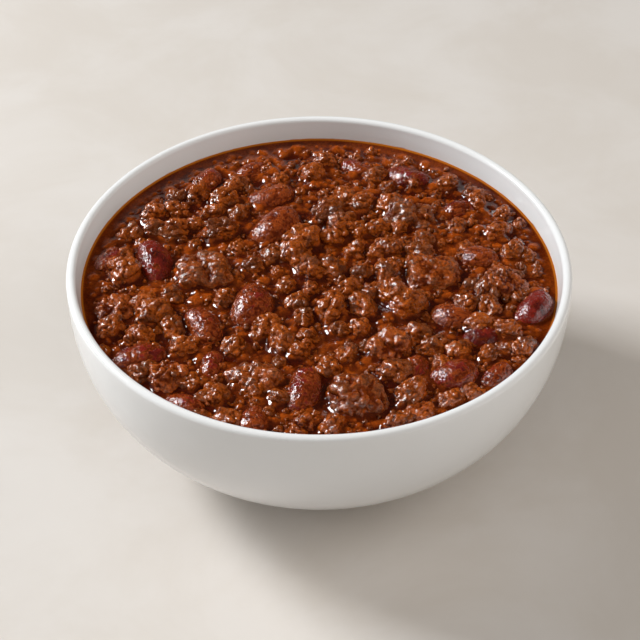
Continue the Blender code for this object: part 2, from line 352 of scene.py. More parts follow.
bowlValues = {
    "lip": 3.2 * mm, "wall": 4.5 * mm, "thickening": 5.0 * mm, "floor": 2.5 * mm, "flatRadius": 16.5 * mm,
    "dropPower": 2.47, "roundPower": 1.9, "footRadius": 38.0 * mm, "footWidth": 3.6 * mm,
    "footBevel": 0.8 * mm, "footTop": 15.0 * mm, "around": 360,
    "glaze": (0.81, 0.81, 0.81, 1), "pooled": (0.785, 0.785, 0.78, 1), "bare": (0.62, 0.58, 0.52, 1),
    "stain": (0.42, 0.13, 0.03, 1), "roughness": (0.13, 0.19),
}
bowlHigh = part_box("bowl")[1]
rimRadius, bowlHeight = bowlHigh.x, bowlHigh.z
lipMiddle = bowlHeight - bowlValues["lip"] / 2


def bellyRadius(height):
    # a rounded power curve, flat underneath, then ever steeper up to the lip: flat radius + (rim radius -
    # flat radius) (1 - drop ^ p) ^ (1 / q), where drop is the share of the way down
    v = bowlValues
    drop = np.clip((lipMiddle - height) / (lipMiddle - v["floor"]), 0.0, 1.0)
    share = (1.0 - drop ** v["dropPower"]) ** (1.0 / v["roundPower"])
    return v["flatRadius"] + (rimRadius - v["flatRadius"]) * share


def bellyCurve(count):
    # (radius, height) at even steps down the outer curve, from the lip's middle to the flat bottom
    turn = np.linspace(0.0, np.pi / 2, 600)
    heights = bowlValues["floor"] + (lipMiddle - bowlValues["floor"]) * (1.0 - np.sin(turn))
    curve = np.stack([bellyRadius(heights), heights], axis=1)
    along = np.concatenate([[0.0], np.cumsum(np.linalg.norm(np.diff(curve, axis=0), axis=1))])
    even = np.linspace(0.0, along[-1], count)
    return np.stack([np.interp(even, along, curve[:, k]) for k in range(2)], axis=1)


def innerCurve(count, gap=0.0):
    # the outer curve moved inwards along its normal by a wall that thickens below the lip
    outer = bellyCurve(count)
    ahead = np.gradient(outer, axis=0)
    ahead /= np.linalg.norm(ahead, axis=1)[:, None]
    inwards = np.stack([ahead[:, 1], -ahead[:, 0]], axis=1)
    inwards[0], inwards[-1] = (-1.0, 0.0), (0.0, 1.0)
    v = bowlValues
    depth = lipMiddle - outer[:, 1]
    thick = v["lip"] + (v["wall"] - v["lip"]) * (1.0 - np.exp(-depth / v["thickening"])) + gap
    return outer + inwards * thick[:, None]


def wallRadius(height):
    # the inner wall's radius at a height
    curve = innerCurve(300)
    return np.interp(height, curve[::-1, 1], curve[::-1, 0])


def roundCorner(before, corner, after, radius, steps=5):
    # (1 - t)^2 start + 2 t (1 - t) corner + t^2 end, where start and end are a radius away from the corner
    start = corner + (before - corner) / np.linalg.norm(before - corner) * radius
    end = corner + (after - corner) / np.linalg.norm(after - corner) * radius
    t = np.linspace(0.0, 1.0, steps)[:, None]
    return (1 - t) ** 2 * start + 2 * t * (1 - t) * corner + t**2 * end


def buildBowl():
    # a profile of (radius, height) turned about z: point = (radius cos u, radius sin u, height)
    v = bowlValues
    inside = innerCurve(60)[::-1]
    lipAngles = np.linspace(np.pi, 0.0, 13)[1:-1]
    lip = np.stack([rimRadius - v["lip"] / 2 + v["lip"] / 2 * np.cos(lipAngles),
                    lipMiddle + v["lip"] / 2 * np.sin(lipAngles)], axis=1)
    outer = bellyCurve(72)
    foot, width, bevel = v["footRadius"], v["footWidth"], v["footBevel"]
    outside = outer[outer[:, 0] > foot + 2.2 * bevel]
    heights = np.linspace(v["floor"], v["footTop"], 400)
    join = np.array([foot, np.interp(foot, bellyRadius(heights), heights)])
    below = np.array([foot - bevel / 2, 0.0])
    within = np.array([foot - width + bevel / 2, 0.0])
    recess = np.array([foot - width - bevel / 2, v["floor"]])
    hub = np.array([0.0, v["floor"]])
    corners = np.concatenate([
        roundCorner(outside[-1], join, below, bevel), roundCorner(join, below, within, bevel * 0.7),
        roundCorner(below, within, recess, bevel * 0.7), roundCorner(within, recess, hub, bevel)])
    flat = np.stack([np.linspace(recess[0] - 2 * mm, 4 * mm, 6), np.full(6, v["floor"])], axis=1)
    inner = np.stack([np.linspace(3 * mm, inside[0, 0] - 2 * mm, 4), np.full(4, inside[0, 1])], axis=1)
    profile = np.concatenate([inner, inside, lip, outside, corners, flat])
    turn = 2.0 * np.pi * np.arange(v["around"]) / v["around"]
    rings = np.stack([profile[:, :1] * np.cos(turn), profile[:, :1] * np.sin(turn),
                      np.repeat(profile[:, 1:], v["around"], axis=1)], axis=-1)
    poles = np.array([[0.0, 0.0, inner[0, 1]], [0.0, 0.0, v["floor"]]])
    return closedSurfaces("bowlCeramic", rings[None], poles[None])


def glazeMaterial(sauceLine):
    # white glaze that pools a little, bare clay under the foot, and a thin oily stain where the chili meets
    # the wall
    v = bowlValues
    material, tree, shader = principled("whiteGlaze", IOR=1.5, Coat_Weight=0.0)
    place = tree.nodes.new("ShaderNodeTexCoord").outputs["Object"]
    split = setInputs(tree, tree.nodes.new("ShaderNodeSeparateXYZ"), Vector=place).outputs
    cloud = noiseTexture(tree, place, 22.0, 3.0)
    tint = mixColor(tree, mapped(tree, cloud, 0.3, 0.7), v["glaze"], v["pooled"])
    wobble = mathNode(tree, "SUBTRACT", noiseTexture(tree, place, 120.0, 3.0), 0.5)
    level = mathNode(tree, "ADD", split["Z"], mathNode(tree, "MULTIPLY", wobble, 1.8 * mm))
    below = mapped(tree, level, sauceLine + 0.35 * mm, sauceLine + 1.1 * mm, 1.0, 0.0)
    above = mapped(tree, split["Z"], sauceLine - 2.0 * mm, sauceLine - 1.5 * mm)
    flat = tree.nodes.new("ShaderNodeVectorMath")
    flat.operation = "MULTIPLY"
    setInputs(tree, flat, i0=place, i1=(1.0, 1.0, 0.0))
    radial = tree.nodes.new("ShaderNodeVectorMath")
    radial.operation = "LENGTH"
    setInputs(tree, radial, i0=flat.outputs[0])
    wall = wallRadius(sauceLine)
    inner = mapped(tree, radial.outputs["Value"], wall + 1.0 * mm, wall + 1.6 * mm, 1.0, 0.0)
    stain = mathNode(tree, "MULTIPLY", below, mathNode(tree, "MULTIPLY", inner, above))
    bare = mapped(tree, split["Z"], 0.25 * mm, 0.6 * mm, 1.0, 0.0)
    color = mixColor(tree, bare, mixColor(tree, stain, tint, v["stain"]), v["bare"])
    rough = mathNode(tree, "ADD", mapped(tree, noiseTexture(tree, place, 60.0), 0.2, 0.8, *v["roughness"]),
                     mathNode(tree, "MULTIPLY", bare, 0.5))
    ripple = noiseTexture(tree, place, 260.0, 2.0)
    setInputs(tree, shader, Base_Color=color, Roughness=rough,
              Normal=bumpNode(tree, ripple, 0.03 * mm, 0.6))
    return material


# Kidney beans

beanValues = {
    "rows": 80, "around": 60, "blunt": 0.84, "uneven": 0.45 * mm, "wrinkle": 0.20 * mm, "plump": 0.35 * mm,
    "skin": (0.20, 0.015, 0.008, 1), "skinDeep": (0.060, 0.006, 0.004, 1),
    # thick is the sauce colour in the wrinkles: thicker sauce there, and painted shade
    "pale": (0.34, 0.045, 0.026, 1), "thin": (0.30, 0.052, 0.007, 1), "thick": (0.11, 0.013, 0.002, 1),
    # how much of a bean the sauce covers, for those that differ from the usual
    "coverage": {1: 0.36, 2: 0.58, 3: 0.92, 6: 0.8, 8: 0.6, 9: 0.45, 12: 0.75, 13: 0.22, 14: 0.35, 15: 0.7},
    "usualCoverage": 0.55,
}


def ownAxes(points):
    # the solid's middle, and its long, middle and short directions from how its points spread
    middle = (points.min(0) + points.max(0)) / 2
    spread = points - points.mean(0)
    turn = np.linalg.svd(spread, full_matrices=False)[2]
    turn[2] = np.cross(turn[0], turn[1])
    return middle, turn


def buildBean(name, index):
    # along = cos s and girth = sin s to a blunt power give a rounded rod; it is bowed sideways by the square
    # of along, as the solid is, then swollen and wrinkled along its normal
    v = beanValues
    points = nodePoints(name)
    turn = ownAxes(points)[1]
    local = (points - points.mean(0)) @ turn.T
    if np.ptp(local[:, 2]) > np.ptp(local[:, 1]):
        turn = turn[[0, 2, 1]] * np.array([[1.0], [1.0], [-1.0]])
        local = (points - points.mean(0)) @ turn.T
    half = np.ptp(local, axis=0) / 2
    centre = points.mean(0) + ((local.max(0) + local.min(0)) / 2) @ turn
    local = (points - centre) @ turn.T
    waist = local[np.abs(local[:, 0]) < 0.4 * half[0], 1]
    tips = local[np.abs(local[:, 0]) > 0.85 * half[0], 1]
    width, offset = np.ptp(waist) / 2, (waist.max() + waist.min()) / 2
    bow = tips.mean() - offset
    s = np.pi * (np.arange(v["rows"]) + 1) / (v["rows"] + 1)
    turnRound = 2.0 * np.pi * np.arange(v["around"]) / v["around"]
    along = np.cos(s)[:, None] * np.ones_like(turnRound)
    girth = (np.sin(s) ** v["blunt"])[:, None]
    side = girth * width * np.cos(turnRound) + offset + bow * along**2
    up = girth * half[2] * np.sin(turnRound)
    shape = np.stack([along * half[0], side, up], axis=-1)
    poles = np.array([[half[0], offset + bow, 0.0], [-half[0], offset + bow, 0.0]])
    outwards = np.stack([along / half[0], girth * np.cos(turnRound) / width,
                         girth * np.sin(turnRound) / half[2]], axis=-1)
    outwards /= np.linalg.norm(outwards, axis=-1, keepdims=True)
    swell = layeredNoise(shape + index * 0.05, 6.0 * mm, 200 + index, 2) * v["uneven"] + v["plump"]
    stretched = shape * np.array([0.55, 1.0, 1.0])
    folds = np.abs(layeredNoise(stretched + index * 0.03, 1.3 * mm, 300 + index, 2))
    # hollow is high in the folds of the wrinkles: it sinks them here, and the material darkens them, partly
    # as sauce lying thicker there and partly as painted shade
    hollow = np.clip(1.0 - folds * 2.6, 0.0, 1.0)
    shape = shape + outwards * (swell - hollow * v["wrinkle"])[..., None]
    rings = shape @ turn + centre
    values = {"hollow": np.append(hollow.ravel(), [0.3, 0.3])}
    return closedSurfaces(name + "_skin", rings[None], (poles @ turn + centre)[None], values)


def beanMaterial(name, coverage, shade):
    # dark red skin with deeper clouds and pale streaks, under sauce that is darker in the wrinkles, partly
    # as thicker sauce and partly as painted shade
    v = beanValues
    material, tree, shader, place = wetFood(name, 1.75, 0.08, 0.08, (1.0, 0.25, 0.15))
    cloud = noiseTexture(tree, place, 170.0 + 40.0 * shade, 3.0)
    skin = mixColor(tree, mapped(tree, cloud, 0.35 + 0.15 * shade, 0.75), v["skin"], v["skinDeep"])
    streak = mapped(tree, noiseTexture(tree, place, 420.0, 4.0, 0.7, 1.5), 0.6, 0.8)
    skin = mixColor(tree, mathNode(tree, "MULTIPLY", streak, 0.2), skin, v["pale"])
    hollow = attributeValue(tree, "hollow")
    film = useGroup(tree, sauceFilm, Under=skin, Coverage=coverage, Hollow=hollow, Patch_Scale=230.0,
                    Thin=v["thin"], Thick=v["thick"], Dry_Roughness=0.24, Wet_Roughness=0.2)
    wrinkles = noiseTexture(tree, place, 650.0, 3.0, 0.55, 1.0)
    setInputs(tree, shader, Base_Color=film["Color"], Roughness=film["Roughness"],
              Coat_Weight=mapped(tree, hollow, 0.3, 0.9, 1.0, 0.35),
              Normal=bumpNode(tree, wrinkles, 0.8 * mm, 0.9),
              Coat_Normal=bumpNode(tree, wrinkles, 0.5 * mm, 0.9))
    return material


# Beef chunks

beefValues = {
    "rows": 70, "around": 84, "soften": 5.5, "sink": 0.95 * mm, "lumps": 1.0 * mm, "grain": 0.12 * mm,
    "nodules": 150, "wide": (0.10, 0.25), "lift": 4.6 * mm,
    "meat": (0.31, 0.080, 0.018, 1), "fat": (0.42, 0.12, 0.030, 1), "dark": (0.12, 0.026, 0.006, 1),
    # thick is the sauce colour in the creases and low places: thicker sauce there, and painted shade
    "thin": (0.44, 0.088, 0.009, 1), "thick": (0.09, 0.010, 0.001, 1),
    "coverage": {1: 0.45, 2: 0.35, 3: 0.5, 4: 0.6, 5: 0.55, 6: 0.42, 8: 0.5, 11: 0.85},
    "usualCoverage": 0.62,
}


def farthestHit(origin, directions, triangles):
    # distance from an inner point along each direction to the last triangle it crosses, by Cramer's rule
    first, second = triangles[:, 1] - triangles[:, 0], triangles[:, 2] - triangles[:, 0]
    across = np.cross(directions[:, None], second[None])
    scale = (across * first[None]).sum(-1)
    scale = np.where(np.abs(scale) < 1e-14, 1e-14, scale)
    offset = origin - triangles[:, 0]
    u = (across * offset[None]).sum(-1) / scale
    turned = np.cross(offset, first)
    v = (directions @ turned.T) / scale
    distance = (second * turned).sum(-1)[None] / scale
    inside = (u > -0.002) & (v > -0.002) & (u + v < 1.002) & (distance > 0)
    return np.where(inside, distance, 0.0).max(1)


def roundBlur(radius, sigma, reach=12):
    # softens a radius given on latitude rows by a Gaussian, wrapping round the latitudes
    taps = np.exp(-0.5 * (np.arange(-reach, reach + 1) / sigma) ** 2)
    taps /= taps.sum()
    radius = sum(t * np.roll(radius, k - reach, axis=1) for k, t in enumerate(taps))
    padded = np.concatenate([np.repeat(radius[:1], reach, 0), radius, np.repeat(radius[-1:], reach, 0)])
    return sum(t * padded[k:k + len(radius)] for k, t in enumerate(taps))


def buildBeef(name, index):
    # radius(direction) reaches to the solid's faces, softened at the edges, then roughened by lumps, by a
    # grain drawn out along the meat's fibres, and by nodules that come and go over the chunk
    v = beefValues
    triangles = nodeTriangles(name)
    middle, turn = ownAxes(nodePoints(name))
    ball = ballDirections(v["rows"], v["around"])
    turn = turn[[1, 2, 0]]
    world = ball @ turn
    reach = farthestHit(middle, world.reshape(-1, 3), triangles).reshape(ball.shape[:2])
    reach = roundBlur(reach, v["soften"])
    spot = world * reach[..., None]
    fibre = turn[2] if index % 2 else turn[0]
    along = (spot @ fibre)[..., None] * fibre
    stretched = (spot - along) + along * 0.22
    lumps = layeredNoise(spot + index * 0.07, 3.6 * mm, 400 + index, 3)
    fibres = layeredNoise(stretched + index * 0.02, 0.85 * mm, 430 + index, 2)
    draws = np.random.default_rng(460 + index)
    lift, creases = noduleLift(world.reshape(-1, 3), 1, v["nodules"], v["wide"], draws)
    rough = np.clip(0.75 + 0.75 * latticeNoise(spot + index * 0.11, 6.0 * mm, 480 + index), 0.12, 1.0)
    lift, creases = lift.reshape(reach.shape) * rough, creases.reshape(reach.shape) * rough
    reach = reach - v["sink"] + lumps * v["lumps"] + fibres * v["grain"] + lift * v["lift"]
    # hollow is high in the low places and between the nodules; the material darkens it, partly as thicker
    # sauce and partly as painted shade
    hollow = np.clip(0.3 - 0.6 * lumps - 0.3 * fibres + 0.5 * creases, 0.0, 1.0)
    rings = middle + world * reach[..., None]
    poles = np.stack([middle + turn[2] * reach[0].mean(), middle - turn[2] * reach[-1].mean()])
    values = {"hollow": np.append(hollow.ravel(), [hollow[0].mean(), hollow[-1].mean()])}
    return closedSurfaces(name + "_meat", rings[None], poles[None], values)


def beefMaterial(name, coverage, fibreTurn):
    # brown meat with fibres drawn out one way and a few paler streaks, crowded with grains, under sauce that
    # darkens the creases, partly as thicker sauce and partly as painted shade
    v = beefValues
    material, tree, shader, place = wetFood(name, 2.0, 0.18, 0.08, (1.0, 0.35, 0.2))
    turned = tree.nodes.new("ShaderNodeMapping")
    setInputs(tree, turned, Vector=place, Rotation=(0.3, 0.1, fibreTurn), Scale=(0.35, 1.0, 1.0))
    fibre = noiseTexture(tree, turned.outputs[0], 900.0, 4.0, 0.65, 0.6)
    meat = mixColor(tree, mapped(tree, fibre, 0.35, 0.68), v["dark"], v["meat"])
    streaks = mapped(tree, noiseTexture(tree, turned.outputs[0], 330.0, 3.0), 0.6, 0.8, 0.0, 0.5)
    meat = mixColor(tree, streaks, meat, v["fat"])
    grains = useGroup(tree, crowdedGrains, Size_Scale=700.0)
    # painted shade in the creases, with thicker sauce there
    hollow = mathNode(tree, "ADD", mathNode(tree, "MULTIPLY", attributeValue(tree, "hollow"), 0.7),
                      mathNode(tree, "MULTIPLY", grains["Crease"], 0.35))
    film = useGroup(tree, sauceFilm, Under=meat, Coverage=coverage, Hollow=hollow, Patch_Scale=320.0,
                    Thin=v["thin"], Thick=v["thick"], Dry_Roughness=0.45, Wet_Roughness=0.25)
    rough = mathNode(tree, "ADD", mathNode(tree, "MULTIPLY", fibre, 0.8), grains["Height"])
    setInputs(tree, shader, Base_Color=film["Color"], Roughness=film["Roughness"],
              Coat_Weight=mapped(tree, hollow, 0.2, 0.75, 1.0, 0.1),
              Normal=bumpNode(tree, rough, 0.8 * mm, 0.9), Coat_Normal=bumpNode(tree, fibre, 0.6 * mm, 0.6))
    return material


# The chili's height map

mapStep = 0.25 * mm
mapHalf = 80.0 * mm
mapAxis = np.arange(-mapHalf, mapHalf + mapStep / 2, mapStep)
mapX, mapY = np.meshgrid(mapAxis, mapAxis, indexing="ij")
chiliValues = {
    "level": 61.5 * mm, "calmHeading": 132.0, "cells": 290, "rings": 6, "intoWall": 0.5 * mm,
    "grains": 1500, "drowned": 340, "seed": 21, "waves": 0.8 * mm, "ripples": 0.35 * mm,
    # thick is the sauce colour in its hollows: deeper sauce there, and painted shade
    "thin": (0.33, 0.058, 0.004, 1), "thick": (0.055, 0.005, 0.0006, 1), "under": (0.16, 0.026, 0.003, 1),
    "oil": (0.40, 0.115, 0.010, 1),
}


def toIndex(value):
    # where a coordinate falls along the map's side, counted in cells
    return (value + mapHalf) / mapStep


def readMap(field, x, y):
    # the height map's value at any point, blended from the four cells round it
    last = len(mapAxis) - 1.001
    column, row = np.clip(toIndex(x), 0, last), np.clip(toIndex(y), 0, last)
    i, j = column.astype(int), row.astype(int)
    s, t = column - i, row - j
    return ((field[i, j] * (1 - s) + field[i + 1, j] * s) * (1 - t)
            + (field[i, j + 1] * (1 - s) + field[i + 1, j + 1] * s) * t)


def chiliTop():
    # the solid's own relief: its top points spread out by a weighted blur, which also fills the pits
    points = nodePoints("chili")
    points = points[points[:, 2] > chiliValues["level"] - 0.4 * mm]
    i, j = np.round(toIndex(points[:, 0])).astype(int), np.round(toIndex(points[:, 1])).astype(int)
    weight, total = np.zeros_like(mapX), np.zeros_like(mapX)
    np.add.at(weight, (i, j), 1.0)
    np.add.at(total, (i, j), points[:, 2])
    nearWeight, broadWeight = [blur(weight, sigma, mapStep) for sigma in (2.6 * mm, 6.0 * mm)]
    near = blur(total, 2.6 * mm, mapStep) / np.maximum(nearWeight, 1e-12)
    broad = blur(total, 6.0 * mm, mapStep) / np.maximum(broadWeight, 1e-12)
    trust = np.clip(nearWeight * 4e3, 0.0, 1.0)
    return near * trust + broad * (1.0 - trust)


def piecesTop(pieces):
    # the highest point of the given pieces over each cell, and -1 where there are none
    top = np.full_like(mapX, -1.0)
    for piece in pieces:
        points = meshPoints(piece.data)
        i, j = np.round(toIndex(points[:, 0])).astype(int), np.round(toIndex(points[:, 1])).astype(int)
        np.maximum.at(top, (i, j), points[:, 2])
    for _ in range(2):  # fills the gaps between a piece's points
        spread = top
        for shift in ((1, 0), (-1, 0), (0, 1), (0, -1)):
            spread = np.maximum(spread, np.roll(top, shift, axis=(0, 1)))
        top = np.where(top > 0, top, spread)
    return top


def scatter(count, reach, sizes, spacing, allowed, random):
    # seeded darts: each keeps its distance from the ones before it, and falls only where the mask allows it
    spots = np.empty((0, 3))
    for _ in range(count * 12):
        if len(spots) == count:
            break
        distance, angle = reach * math.sqrt(random.random()), random.uniform(0.0, 2.0 * math.pi)
        x, y, size = distance * math.cos(angle), distance * math.sin(angle), random.uniform(*sizes)
        if random.random() > readMap(allowed, np.array(x), np.array(y)):
            continue
        apart = np.hypot(spots[:, 0] - x, spots[:, 1] - y)
        if (apart < spacing * (spots[:, 2] + size)).any():
            continue
        spots = np.vstack([spots, [x, y, size]])
    return spots


def stampBalls(field, balls, blend):
    # merges the caps of (x, y, z, radius) balls into the height map
    for x, y, z, radius in balls:
        reach = int(radius / mapStep) + 2
        i, j = int(round(toIndex(x))), int(round(toIndex(y)))
        if min(i, j) < reach or max(i, j) > len(mapAxis) - reach - 1:
            continue
        part = (slice(i - reach, i + reach + 1), slice(j - reach, j + reach + 1))
        away = (mapX[part] - x) ** 2 + (mapY[part] - y) ** 2
        cap = z + np.sqrt(np.maximum(radius**2 - away, 0.0)) - np.where(away > radius**2, 5 * radius, 0.0)
        field[part] = smoothMax(cap, field[part], blend)


def sinkBalls(field, level, spots, depth, blend, random):
    # sets (x, y, radius) balls into the height map, each with its middle below the level by a share of its
    # radius
    middle = readMap(level, spots[:, 0], spots[:, 1]) - spots[:, 2] * random.uniform(*depth, len(spots))
    stampBalls(field, np.column_stack([spots[:, :2], middle, spots[:, 2]]), blend)


# Minced beef

# lumps of mince that stand out: x and y of the middle, half the length and half the width in millimetres,
# and heading in degrees
largeLumps = (
    (-57, 34, 5.5, 4, 60), (-49, 25, 5.5, 4.5, 20), (-33, 25, 6.5, 4.5, 10), (-64, 4, 7, 5, 75),
    (-29, 51, 5, 4, 40), (-33, 42, 6, 4.5, 20), (-6, 20, 7, 6, 40), (-8, 10, 6.5, 5.5, 100),
    (-2, 4, 5.5, 5, 0), (3, 35, 7, 5.5, 50), (9, 44, 6, 5, 130), (14, 40, 5.5, 4.5, 60),
    (8, 27, 6, 4.5, 120), (24, 39, 5, 4.5, 60), (22, 14, 6, 5, 20), (22, 5, 6, 4.5, 80),
    (4, 5, 5.5, 5, 90), (33, 13, 5.5, 4.5, 20), (-53, -19, 7.5, 5, 30), (-67, -25, 5.5, 4.5, 50),
    (-47, -24, 5.5, 4.5, 110), (-57, -29, 5.5, 4.5, 20), (-17, -24, 6, 5, 60), (-12, -31, 5.5, 4.5, 100),
    (9, -8, 6.5, 5, 40), (4, -16, 6, 5, 60), (14, -15, 5.5, 4.5, 120), (24, -8, 7, 5.5, 110),
    (29, -14, 6.5, 5.5, 60), (56, -5, 6, 5, 70), (55, -14, 6, 4.5, 80), (48, -13, 5, 4.5, 60),
    (52, -24, 6, 4.5, 10), (59, -26, 6, 4.5, 150), (24, -46, 6, 4.5, 20), (28, -55, 6.5, 4.5, 60),
    (36, -33, 6, 4.5, 20), (60, 2, 5.5, 4, 10), (-43, -34, 5, 4.5, 60),
)
smallLumps = (
    (-48, 36, 4, 3.5, 0), (-56, 26, 4.5, 4, 60), (-64, 24, 4.5, 4, 40), (-42, 45, 5, 4, 60),
    (-28, 35, 4.5, 3.5, 70), (-37, 35, 4.5, 3.5, 30), (-42, 29, 4, 3.5, 0), (-28, 16, 3.5, 3, 90),
    (-66, 13, 4, 3.5, 20), (-14, 54, 4, 3.5, 40), (-16, 11, 4.5, 4, 70), (4, 22, 4.5, 4, 0),
    (13, 25, 4, 3.5, 80), (20, 27, 4.5, 3.5, 20), (12, 14, 4, 4, 0), (14, 3, 4.5, 4, 30),
    (36, 20, 4, 3.5, 60), (28, 17, 3.5, 3, 0), (45, 52, 4.5, 3.5, 30), (20, 57, 4.5, 4, 20),
    (55, 42, 4.5, 3.5, 80), (47, 27, 4, 3.5, 90), (61, 25, 4.5, 3.5, 20), (65, 14, 5, 4, 20),
    (-57, -13, 5, 4.5, 30), (-48, -8, 4.5, 4, 20), (-27, -33, 4.5, 4, 60), (-7, -12, 4.5, 4, 0),
    (-5, -20, 4.5, 4, 80), (-3, -28, 4, 3.5, 0), (-6, -35, 4.5, 4, 60), (-11, -3, 4, 3.5, 60),
    (-33, -56, 5.5, 4.5, 20), (-27, -66, 5, 4, 150), (-12, -57, 4, 3, 0), (-56, -46, 4.5, 3.5, 130),
    (17, -5, 4, 3.5, 0), (13, -24, 4.5, 4, 60), (7, -25, 3.5, 3, 0), (32, -27, 4.5, 4, 30),
    (44, -35, 4.5, 4, 40), (64, -34, 5, 4, 60), (53, -37, 4, 3.5, 90), (9, -36, 4.5, 4, 60),
    (3, -43, 4.5, 4, 0), (38, -42, 4, 3.5, 60), (40, -57, 4.5, 3.5, 30), (24, -67, 4.5, 3.5, 20),
    (4, -69, 4.5, 3.5, 60), (48, -55, 3.5, 3, 30), (2, 65, 4.5, 3.5, 0), (-50, 44, 4, 3.5, 30),
    (-2, 58, 4.5, 4, 20), (63, 34, 4, 3, 50), (-22, 5, 4, 3.5, 0), (-31, -10, 4, 3.5, 60),
    (27, 27, 4, 3, 60), (-68, -35, 3, 2.5, 120), (-40, -50, 4, 3.5, 60),
)
minceValues = {
    "large": {"nodules": 96, "wide": (0.12, 0.29), "lift": 0.60, "rows": 42, "around": 54, "rise": 0.46},
    "small": {"nodules": 56, "wide": (0.15, 0.35), "lift": 0.60, "rows": 28, "around": 38, "rise": 0.40},
    "crumbs": {"nodules": 20, "wide": (0.26, 0.50), "lift": 0.55, "rows": 16, "around": 21, "rise": 0.3,
               "count": 95, "sizes": (1.9 * mm, 3.0 * mm), "spacing": 0.75},
    "bits": {"nodules": 5, "wide": (0.5, 0.9), "lift": 0.7, "rows": 6, "around": 9, "rise": 0.35,
             "count": 760, "sizes": (0.5 * mm, 1.4 * mm), "spacing": 0.7},
    "meat": (0.27, 0.070, 0.018, 1), "dark": (0.14, 0.030, 0.006, 1),
    # thick is the sauce colour in the creases and near the sauce: thicker sauce there, and painted shade in
    # the creases
    "thin": (0.44, 0.088, 0.006, 1), "thick": (0.055, 0.006, 0.001, 1),
}


def buildMince(name, lumps, bottom, values, random):
    # each lump is an uneven ball crowded with nodules: radius = base + part of the nodules' lift; then it is
    # stretched to its length and width, leant, turned to its heading and set into the sauce
    count = len(lumps)
    ball = ballDirections(values["rows"], values["around"]).reshape(-1, 3)
    every = np.concatenate([ball, [[0, 0, 1], [0, 0, -1]]])
    lift, hollow = noduleLift(every, count, values["nodules"], values["wide"], random)
    shift = random.uniform(0.0, 40.0, (count, 1, 3))
    base = 0.82 + 0.22 * latticeNoise(every[None] * 1.1 + shift, 0.8, 51)
    base += 0.16 * latticeNoise(every[None] * 1.1 + shift, 0.42, 52)
    radius = base + lift * values["lift"]
    half = np.stack([lumps[:, 2], lumps[:, 3], 0.5 * (lumps[:, 2] + lumps[:, 3]) * 0.82], axis=-1)
    local = every[None] * radius[..., None] * half[:, None]
    lean = random.uniform(-0.25, 0.25, (count, 1))
    tilted = np.stack([local[..., 0] * np.cos(lean) + local[..., 2] * np.sin(lean), local[..., 1],
                       local[..., 2] * np.cos(lean) - local[..., 0] * np.sin(lean)], axis=-1)
    heading = np.radians(lumps[:, 4:5])
    points = np.stack([tilted[..., 0] * np.cos(heading) - tilted[..., 1] * np.sin(heading) + lumps[:, 0:1],
                       tilted[..., 0] * np.sin(heading) + tilted[..., 1] * np.cos(heading) + lumps[:, 1:2],
                       tilted[..., 2] + (bottom + half[:, 2] * (values["rise"] - 0.25))[:, None]], axis=-1)
    # wet is high low on the lump, where the sauce coats it; hollow joins it to the crease value, which
    # paints shade into the creases
    wet = np.clip(1.0 - (points[..., 2] - bottom[:, None]) / (1.6 * mm), 0.0, 1.0)
    rings = points[:, :-2].reshape(count, values["rows"], values["around"], 3)
    return closedSurfaces(name, rings, points[:, -2:], {"hollow": np.maximum(hollow, wet)})


def placedLumps(table):
    # the table's millimetres as metres
    return np.array(table, float) * np.array([mm, mm, mm, mm, 1.0])


def scatteredLumps(values, mask, random):
    # lumps of random size, shape and heading, kept apart
    spots = scatter(values["count"], 76 * mm, values["sizes"], values["spacing"], mask, random)
    stretch = random.uniform(0.75, 1.15, (2, len(spots)))
    return np.stack([spots[:, 0], spots[:, 1], spots[:, 2] * stretch[0], spots[:, 2] * stretch[1],
                     random.uniform(0.0, 360.0, len(spots))], axis=-1)


def minceMaterial():
    # clouded brown meat crowded with grains, wetter on the rises than in the creases, and darker in the
    # creases, partly as thicker sauce and partly as painted shade
    v = minceValues
    material, tree, shader, place = wetFood("mincedBeef", 2.1, 0.16, 0.08, (1.0, 0.35, 0.2))
    cloud = noiseTexture(tree, place, 300.0, 3.0)
    meat = mixColor(tree, mapped(tree, cloud, 0.35, 0.65), v["dark"], v["meat"])
    grains = useGroup(tree, crowdedGrains, Size_Scale=820.0)
    # painted shade in the creases between nodules and grains, with thicker sauce there
    hollow = mathNode(tree, "ADD", mathNode(tree, "MULTIPLY", attributeValue(tree, "hollow"), 0.42),
                      mathNode(tree, "MULTIPLY", grains["Crease"], 0.28))
    coverage = mapped(tree, noiseTexture(tree, place, 75.0, 2.0), 0.35, 0.65, 0.42, 0.82)
    film = useGroup(tree, sauceFilm, Under=meat, Coverage=coverage, Hollow=hollow, Patch_Scale=210.0,
                    Thin=v["thin"], Thick=v["thick"], Dry_Roughness=0.4, Wet_Roughness=0.3)
    fine = noiseTexture(tree, place, 1900.0, 2.0, 0.6)
    height = mathNode(tree, "ADD", grains["Height"], mathNode(tree, "MULTIPLY", fine, 0.7))
    wet = mathNode(tree, "MULTIPLY", mapped(tree, hollow, 0.2, 0.6, 1.0, 0.15),
                   mapped(tree, fine, 0.42, 0.56, 0.4, 1.0))
    glint = bumpNode(tree, noiseTexture(tree, place, 900.0, 3.0, 0.6), 0.6 * mm, 0.65)
    setInputs(tree, shader, Base_Color=film["Color"], Roughness=film["Roughness"], Coat_Weight=wet,
              Normal=bumpNode(tree, height, 0.9 * mm), Coat_Normal=glint)
    return material


